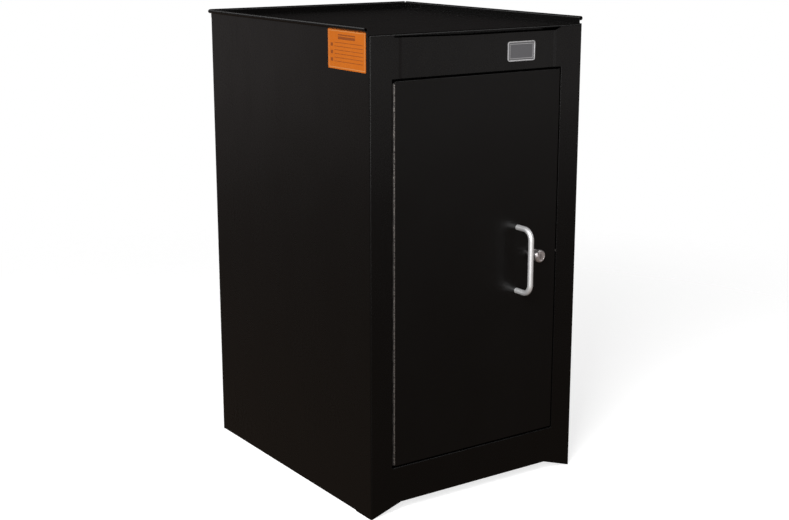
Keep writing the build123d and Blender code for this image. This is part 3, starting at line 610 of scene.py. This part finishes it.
# %% Rivets
def dome_profile(radius, height, steps=6):
    """Profile of a domed head, from its rim to its crown."""
    return [(radius, 0.0)] + [
        (radius * math.cos(math.pi / 2 * step / steps),
         height * math.sin(math.pi / 2 * step / steps))
        for step in range(1, steps)] + [(0.0, height)]


RIVET_RADIUS, RIVET_ROWS, BACK_SHEET = 4.0 * MM, 6, 1.2 * MM


def rivet_mesh():
    """Domed head outside and a flattened tail inside, as one turned shape."""
    tail, head_height, grip = 1.4 * MM, 1.4 * MM, 2.4 * MM
    shank, tail_radius, tail_end = 2.3 * MM, 3.4 * MM, 3.0 * MM
    inside = [(0.0, -grip - tail), (tail_end, -grip - tail), (tail_radius, -grip - 0.5 * MM),
              (tail_radius, -grip), (shank, -grip), (shank, 0.0)]
    return turned("rivet", inside + dome_profile(RIVET_RADIUS, head_height), (0, 1, 0), 16)


RIVET_LOW, RIVET_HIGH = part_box("back_rivets")
RIVET_START = Vector((RIVET_LOW.x + RIVET_RADIUS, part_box("back_panel")[0].y + BACK_SHEET,
                      RIVET_LOW.z + RIVET_RADIUS))
RIVET_STEP = (RIVET_HIGH.z - RIVET_LOW.z - 2 * RIVET_RADIUS) / (RIVET_ROWS - 1)
RIVET_SPAN = RIVET_HIGH.x - RIVET_LOW.x - 2 * RIVET_RADIUS
RIVET_MESH = row_mesh(
    "back_rivet_heads", rivet_mesh(), BODY_PAINT, RIVET_START, RIVET_ROWS, (0, 0, RIVET_STEP),
    2, (RIVET_SPAN, 0, 0))
new_piece("back_rivet_heads", RIVET_MESH, "cabinet", ["back_rivets"])
print("rivets:", 2 * RIVET_ROWS)

# %% Weld marks and bumpers
def weld_mark():
    """Shallow ring with a dished middle, standing on the sheet behind it."""
    rim, dish, lift, slope, sunk = 3.2 * MM, 2.0 * MM, 0.25 * MM, 0.5 * MM, 0.3 * MM
    return turned("weld_mark", [
        (0.0, -sunk), (rim, -sunk), (rim, 0.0), (rim - slope, lift), (dish, lift),
        (dish - slope, 0.06 * MM), (0.0, 0.03 * MM)], (0, 1, 0), 20)


STIFF_LOW, STIFF_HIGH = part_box("door_stiffener")
STIFF_SHEET, FOOT_MIDDLE, WELD_END, WELD_ROWS = 1.0 * MM, 6.0 * MM, 22.0 * MM, 10
WELD_START = Vector((STIFF_LOW.x + FOOT_MIDDLE, STIFF_LOW.y + STIFF_SHEET, STIFF_LOW.z + WELD_END))
WELD_STEP = (STIFF_HIGH.z - STIFF_LOW.z - 2 * WELD_END) / (WELD_ROWS - 1)
WELD_SPAN = STIFF_HIGH.x - STIFF_LOW.x - 2 * FOOT_MIDDLE
WELD_MESH = row_mesh(
    "door_weld_marks", weld_mark(), DOOR_PAINT, WELD_START, WELD_ROWS, (0, 0, WELD_STEP),
    2, (WELD_SPAN, 0, 0))
new_piece("door_weld_marks", WELD_MESH, "door")
BUMPER_LOW, BUMPER_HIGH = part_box("door_bumpers")
BUMPER_RADIUS = (BUMPER_HIGH.x - BUMPER_LOW.x) / 2
BUMPER_THICK = BUMPER_HIGH.y - BUMPER_LOW.y
BUMPER_FOOT = 0.35 * BUMPER_THICK
BUMPER_DOME = [(radius, BUMPER_FOOT + height) for radius, height in dome_profile(
    BUMPER_RADIUS, BUMPER_THICK - BUMPER_FOOT)]
DOT = turned("bumper", [(0.0, 0.0), (BUMPER_RADIUS, 0.0)] + BUMPER_DOME, (0, -1, 0), 28)
BUMPER_START = Vector((
    (BUMPER_LOW.x + BUMPER_HIGH.x) / 2, BUMPER_HIGH.y, BUMPER_LOW.z + BUMPER_RADIUS))
BUMPER_STEP = BUMPER_HIGH.z - BUMPER_LOW.z - 2 * BUMPER_RADIUS
BUMPER_MESH = row_mesh("rubber_bumpers", DOT, RUBBER, BUMPER_START, 2, (0, 0, BUMPER_STEP))
new_piece("rubber_bumpers", BUMPER_MESH, "cabinet", ["door_bumpers"])
print("weld marks:", 2 * WELD_ROWS, "bumper radius", round(BUMPER_RADIUS / MM, 2), "mm")

# %% [markdown]
# ## The wire pull
# The pull is one wire bent twice. A geometry tree follows the rule of the real part: a path of
# four points, a bend of fixed radius at each corner, and a round section along it. The tree
# also stores how far along the wire each point is, which the satin grain follows.

# %% Wire pull
def bent_wire_tree():
    group, tree, given = geometry_tree("bent_wire", {
        "Bend": "Float", "Radius": "Float", "Finish": "Material"})
    path = tree.node("GeometryNodeMeshToCurve", {}, {"Mesh": given["Geometry"]})["Curve"]
    bent = tree.node("GeometryNodeFilletCurve", {"mode": "POLY"}, {
        "Curve": path, "Radius": given["Bend"], "Count": 14})["Curve"]
    length = tree.node("GeometryNodeSplineParameter")["Length"]
    number, vector = ({"data_type": kind, "domain": "POINT"} for kind in ("FLOAT", "FLOAT_VECTOR"))
    named = tree.node("GeometryNodeStoreNamedAttribute", number, {
        "Geometry": bent, "Name": "wire_length", "Value": length})["Geometry"]
    ring = tree.node("GeometryNodeCurvePrimitiveCircle", {}, {
        "Resolution": 28, "Radius": given["Radius"]})["Curve"]
    turn = tree.node("GeometryNodeSplineParameter")["Factor"]
    ring = tree.node("GeometryNodeStoreNamedAttribute", number, {
        "Geometry": ring, "Name": "wire_turn", "Value": turn})["Geometry"]
    tube = tree.node("GeometryNodeCurveToMesh", {}, {
        "Curve": named, "Profile Curve": ring, "Fill Caps": True})["Mesh"]
    far, turned_by = (tree.node("GeometryNodeInputNamedAttribute", {"data_type": "FLOAT"}, {
        "Name": name})["Attribute"] for name in ("wire_length", "wire_turn"))
    girth = 0.03
    place = tree.node("ShaderNodeCombineXYZ", {}, {"X": far, "Y": turned_by * girth})["Vector"]
    marked = tree.node("GeometryNodeStoreNamedAttribute", vector, {
        "Geometry": tube, "Name": "wire_place", "Value": place})["Geometry"]
    close_geometry(tree, marked, given["Finish"])
    return group


def path_mesh(name, points):
    """Mesh of one open chain of edges through these points."""
    mesh = bpy.data.meshes.new(name)
    edges = [(i, i + 1) for i in range(len(points) - 1)]
    mesh.from_pydata([tuple(point) for point in points], edges, [])
    return mesh


PULL_LOW, PULL_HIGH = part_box("pull_handle")
WIRE = (PULL_HIGH.x - PULL_LOW.x) / 2
PULL_X = (PULL_LOW.x + PULL_HIGH.x) / 2
PULL_BAR_Y = PULL_LOW.y + WIRE
LEG_LOW, LEG_HIGH = PULL_LOW.z + WIRE, PULL_HIGH.z - WIRE
PULL_PATH = [(PULL_X, PULL_HIGH.y, LEG_LOW), (PULL_X, PULL_BAR_Y, LEG_LOW),
             (PULL_X, PULL_BAR_Y, LEG_HIGH), (PULL_X, PULL_HIGH.y, LEG_HIGH)]
PULL_BEND = 18.5 * MM
PULL_MESH = grown("wire_pull", bent_wire_tree(), {
    "Bend": PULL_BEND, "Radius": WIRE, "Finish": SILVER}, path_mesh("pull_path", PULL_PATH))
smooth_by_angle(PULL_MESH, 50)
new_piece("wire_pull", PULL_MESH, "door", ["pull_handle"])
print("pull faces:", len(PULL_MESH.polygons))

# %% [markdown]
# ## The lock's trim
# The lock head is a plain turned cylinder in the CAD. A real one has a raised ring round its
# face and two thin ridges on the neck behind it. Both are turned about the lock's own axis.

# %% Lock trim
LOCK_AXIS = Vector(JOINTS["lock_turn"]["pos_m"])
LOCK_LOW, LOCK_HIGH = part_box("lock_housing")
HEAD_RADIUS = (LOCK_HIGH.x - LOCK_LOW.x) / 2
HEAD_FACE = LOCK_LOW.y
DOOR_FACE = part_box("door_skin")[0].y


def ring_profile(radius, thick, base, crown, steps=8):
    """Half-round ring standing on a face at height `base`, closed underneath."""
    arc = [math.pi * step / steps for step in range(steps + 1)]
    rim = [(radius + thick * math.cos(a), base + crown * math.sin(a)) for a in arc]
    under = base - 0.2 * MM
    return rim + [(radius - thick, under), (radius + thick, under), rim[0]]


def lock_trim(name, meshes):
    mesh = joined(name, meshes, CHROME)
    mesh.transform(Matrix.Translation((LOCK_AXIS.x, 0, LOCK_AXIS.z)))
    new_piece(name, mesh, "door")


BEZEL_RADIUS, BEZEL_THICK, BEZEL_CROWN = HEAD_RADIUS - 2.6 * MM, 0.9 * MM, 0.55 * MM
lock_trim("lock_bezel", [turned(
    "bezel", ring_profile(BEZEL_RADIUS, BEZEL_THICK, -HEAD_FACE, BEZEL_CROWN), (0, -1, 0), 48)])
NECK_RADIUS = 9.5 * MM
RIDGE_INNER, RIDGE_OUTER = NECK_RADIUS - 0.2 * MM, NECK_RADIUS + 0.7 * MM
RIDGE_HEIGHTS = (1.2 * MM, 8.0 * MM)


def neck_ridge(height):
    """One bevelled ridge round the neck, this far in front of the door."""
    foot = -DOOR_FACE + height
    flat_start, flat_end, top = foot + 0.4 * MM, foot + 1.2 * MM, foot + 1.6 * MM
    return turned("ridge", [
        (RIDGE_INNER, foot), (RIDGE_OUTER, flat_start), (RIDGE_OUTER, flat_end),
        (RIDGE_INNER, top), (RIDGE_INNER, foot)], (0, -1, 0), 48)


lock_trim("lock_collar", [neck_ridge(height) for height in RIDGE_HEIGHTS])
print("lock head radius", round(HEAD_RADIUS / MM, 2), "mm")

# %% [markdown]
# ## Floor, lights and camera
# A black object is lit by what it reflects. The room is dark to the safe, with a band of glow
# just under the horizon that grades its flat sides. Six soft boxes add the rest: a key from the
# front left for the label and the bright metal, a low box for the upright bends, one for the
# top's rolled edge, one behind, a wide low glow that the front mirrors, and a small one for the
# header's ridge. The floor is plain and pale and fades into a white surround.

# %% Floor
FLOOR_RADIUS, FADE_REACH = 2.4, 2.2


def pale_floor():
    """Plain pale floor that turns clear towards its edge."""
    material, tree, place = new_finish("pale_floor")
    away = tree.node("ShaderNodeVectorMath", {"operation": "LENGTH"}, {0: place})["Value"]
    fade = ramp(tree, away / FADE_REACH, (0.25, 0.0), (0.95, 1.0))
    lit = tree.node("ShaderNodeBsdfDiffuse", {}, {"Color": colour(0.62, 0.62, 0.62)})["BSDF"]
    glow = tree.node("ShaderNodeEmission", {}, {
        "Color": colour(1, 1, 1), "Strength": 0.76})["Emission"]
    pale = tree.node("ShaderNodeAddShader", {}, {0: lit, 1: glow})["Shader"]
    clear = tree.node("ShaderNodeBsdfTransparent")["BSDF"]
    surface = tree.node("ShaderNodeMixShader", {}, {"Fac": fade, 1: pale, 2: clear})["Shader"]
    tree.node("ShaderNodeOutputMaterial", {}, {"Surface": surface})
    return material


def make_floor():
    shape = bmesh.new()
    bmesh.ops.create_circle(shape, cap_ends=True, radius=FLOOR_RADIUS, segments=96)
    mesh = bpy.data.meshes.new("floor")
    shape.to_mesh(mesh)
    shape.free()
    mesh.materials.append(pale_floor())
    floor = bpy.data.objects.new("floor", mesh)
    bpy.context.scene.collection.objects.link(floor)
    floor.visible_glossy = False
    floor.visible_diffuse = False


make_floor()
print("floor radius", FLOOR_RADIUS, "m")

# %% World and soft boxes
# Both lists run from straight down, 0, past the horizon, 0.5, to straight up, 1.
GLOW_STOPS = [(0.30, 0.078), (0.375, 0.066), (0.41, 0.062), (0.445, 0.24), (0.475, 0.31),
              (0.49, 0.16), (0.502, 0.038), (0.56, 0.017)]
TINT_STOPS = [(0.33, 0.0), (0.45, 1.0)]
WARM_LIGHT, PALE_LIGHT, ROOM_STRENGTH = colour(1.0, 0.74, 0.56), colour(1.0, 0.92, 0.91), 1.42


def studio_world():
    """White to the camera. To the safe, a dark room with a glow just under the horizon."""
    world = bpy.data.worlds.new("studio")
    world.use_nodes = True
    world.node_tree.nodes.clear()
    tree = Tree(world.node_tree)
    way = tree.node("ShaderNodeTexCoord")["Generated"]
    height = tree.node("ShaderNodeSeparateXYZ", {}, {0: way})["Z"]
    grade = ramp(tree, height * 0.5 + 0.5, *GLOW_STOPS)
    tinted = mixed(tree, ramp(tree, height * 0.5 + 0.5, *TINT_STOPS), WARM_LIGHT, PALE_LIGHT)
    dim = tree.node("ShaderNodeMix", {"data_type": "RGBA", "blend_type": "MULTIPLY"}, {
        0: 1.0, 6: tinted, 7: grade})["Result"]
    room = tree.node("ShaderNodeBackground", {}, {
        "Color": dim, "Strength": ROOM_STRENGTH})["Background"]
    white = tree.node("ShaderNodeBackground", {}, {
        "Color": colour(1, 1, 1), "Strength": 1.0})["Background"]
    seen = tree.node("ShaderNodeLightPath")["Is Camera Ray"]
    both = tree.node("ShaderNodeMixShader", {}, {"Fac": seen, 1: room, 2: white})["Shader"]
    tree.node("ShaderNodeOutputWorld", {}, {"Surface": both})
    bpy.context.scene.world = world


def soft_box(name, spot, aim, width, height, power):
    """Soft box at a spot, turned to its aim: sizes in metres, power in watts."""
    light = bpy.data.lights.new(name, "AREA")
    light.shape = "RECTANGLE"
    light.size, light.size_y = width, height
    light.energy = power
    lamp = bpy.data.objects.new(name, light)
    lamp.location = spot
    lamp.rotation_euler = (Vector(aim) - Vector(spot)).to_track_quat("-Z", "Y").to_euler()
    bpy.context.scene.collection.objects.link(lamp)


studio_world()
soft_box("key_box", (-2.9, -2.3, 2.4), (-0.1, -0.1, 0.5), 1.5, 1.5, 180)
soft_box("front_box", (-1.9, -2.8, 0.8), (0, 0, 0.6), 1.2, 1.2, 22)
soft_box("nosing_box", (1.3, -1.6, 2.4), (0, -0.2, 0.8), 1.2, 1.2, 9)
soft_box("rear_box", (-1.2, 1.9, 2.1), (-0.2, 0, 0.8), 1.3, 1.3, 8)
soft_box("glow_box", (1.4, -2.8, 0.53), (0, -0.276, 0.7), 2.4, 0.5, 1.55)
soft_box("ridge_box", (0.7, -3.0, 0.5), (0.1, -0.276, 0.8), 0.5, 0.5, 0.9)

# %% Camera
def place_camera(spot, turn, tilt, lens):
    """Camera at a spot, turned to the right of straight ahead and tilted down, in degrees."""
    data = bpy.data.cameras.new("camera")
    data.sensor_width, data.lens = 36.0, lens
    camera = bpy.data.objects.new("camera", data)
    camera.location = spot
    camera.rotation_euler = (math.radians(90 - tilt), 0, math.radians(-turn))
    bpy.context.scene.collection.objects.link(camera)
    bpy.context.scene.camera = camera


place_camera(spot=(-1.4754, -2.1648, 1.0268), turn=34.467, tilt=13.842, lens=63.8)
bpy.context.scene.view_settings.view_transform = "Standard"
print("camera placed")
